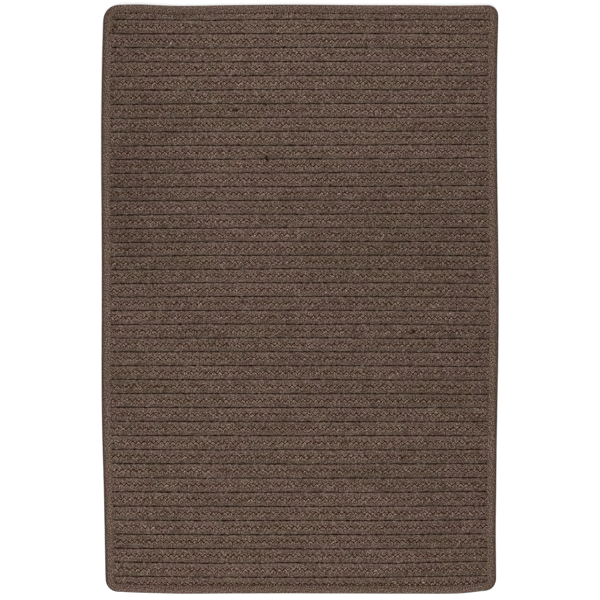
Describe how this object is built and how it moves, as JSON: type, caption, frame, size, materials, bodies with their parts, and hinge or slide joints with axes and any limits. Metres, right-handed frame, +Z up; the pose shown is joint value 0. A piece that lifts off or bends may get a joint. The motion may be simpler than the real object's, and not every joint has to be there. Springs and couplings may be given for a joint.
{
  "type": "braided rug",
  "caption": "Flat rectangular rug of parallel plaited yarn braids sewn side by side, with rounded corners and a folded tape binding round the edge.",
  "frame": {"origin": "on the surface that the rug lies on, under the middle of its bounding box", "axes": "+Z up out of the rug's upper face, +Y along its long way towards braid_01, +X along the braids"},
  "size_m": [0.616, 0.9138, 0.01],
  "materials": {
    "braid_yarn": "matt heathered plaited yarn, brown with purple-brown and olive-brown patches",
    "binding_tape": "matt fine-ribbed folded tape, brown"
  },
  "bodies": {
    "root": {"braid_01": "braid_yarn", "braid_02": "braid_yarn", "braid_03": "braid_yarn", "braid_04": "braid_yarn", "braid_05": "braid_yarn", "braid_06": "braid_yarn", "braid_07": "braid_yarn", "braid_08": "braid_yarn", "braid_09": "braid_yarn", "braid_10": "braid_yarn", "braid_11": "braid_yarn", "braid_12": "braid_yarn", "braid_13": "braid_yarn", "braid_14": "braid_yarn", "braid_15": "braid_yarn", "braid_16": "braid_yarn", "braid_17": "braid_yarn", "braid_18": "braid_yarn", "braid_19": "braid_yarn", "braid_20": "braid_yarn", "braid_21": "braid_yarn", "braid_22": "braid_yarn", "braid_23": "braid_yarn", "braid_24": "braid_yarn", "braid_25": "braid_yarn", "braid_26": "braid_yarn", "braid_27": "braid_yarn", "braid_28": "braid_yarn", "braid_29": "braid_yarn", "braid_30": "braid_yarn", "braid_31": "braid_yarn", "braid_32": "braid_yarn", "braid_33": "braid_yarn", "braid_34": "braid_yarn", "braid_35": "braid_yarn", "braid_36": "braid_yarn", "braid_37": "braid_yarn", "braid_38": "braid_yarn", "braid_39": "braid_yarn", "braid_40": "braid_yarn", "braid_41": "braid_yarn", "braid_42": "braid_yarn", "binding": "binding_tape"}
  },
  "joints": []
}
